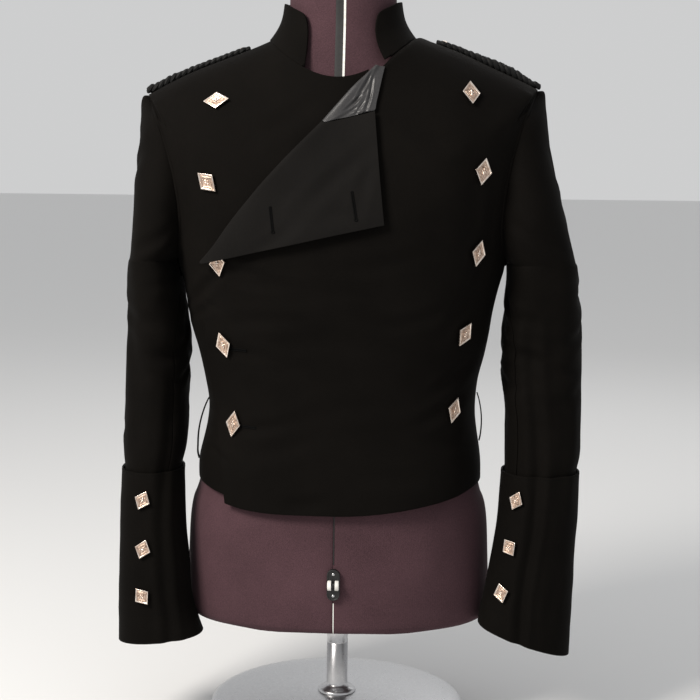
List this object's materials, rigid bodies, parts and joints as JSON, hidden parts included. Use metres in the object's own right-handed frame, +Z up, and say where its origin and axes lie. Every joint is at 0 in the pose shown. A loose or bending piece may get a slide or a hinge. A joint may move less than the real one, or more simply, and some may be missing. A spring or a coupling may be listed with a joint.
{
  "type": "doublet on a dress form",
  "caption": "Black wool doublet with a stand collar, a turned-back front, plaited shoulder cords and gauntlet cuffs, on a limbless dress form with a round base.",
  "frame": {"origin": "centre of the stand's underside, on the table", "axes": "+Z up, the doublet's front faces -Y, the wearer's right is -X"},
  "size_m": [0.5304, 0.3, 0.8645],
  "materials": {
    "wool": "black wool barathea with a faint sheen",
    "satin": "dark grey satin lining",
    "cord": "plaited black cord",
    "button_metal": "silver plate with a warm tint",
    "jersey": "mauve-grey jersey over a hard shell",
    "steel": "polished steel",
    "black_plastic": "black plastic",
    "dial_ivory": "ivory plastic"
  },
  "bodies": {
    "root": {"adjuster_dial": "dial_ivory", "adjuster_housing": "black_plastic", "back_left": "wool", "back_right": "wool", "belt_loop_left": "wool", "belt_loop_right": "wool", "collar": "wool", "cord_button_left": "button_metal", "cord_button_right": "button_metal", "cuff_button_left_1": "button_metal", "cuff_button_left_2": "button_metal", "cuff_button_left_3": "button_metal", "cuff_button_right_1": "button_metal", "cuff_button_right_2": "button_metal", "cuff_button_right_3": "button_metal", "cuff_left": "wool", "cuff_right": "wool", "form_base": "steel", "form_body": "jersey", "form_neck_cap": "black_plastic", "form_pole": "steel", "front_button_left_1": "button_metal", "front_button_left_2": "button_metal", "front_button_left_3": "button_metal", "front_button_left_4": "button_metal", "front_button_left_5": "button_metal", "front_button_right_1": "button_metal", "front_button_right_2": "button_metal", "front_button_right_3": "button_metal", "front_button_right_4": "button_metal", "front_button_right_5": "button_metal", "front_facing": "wool", "front_left": "wool", "front_right": "wool", "lapel_lining": "satin", "shoulder_cord_left": "cord", "shoulder_cord_right": "cord", "topsleeve_left": "wool", "topsleeve_right": "wool", "undersleeve_left": "wool", "undersleeve_right": "wool"}
  },
  "joints": []
}
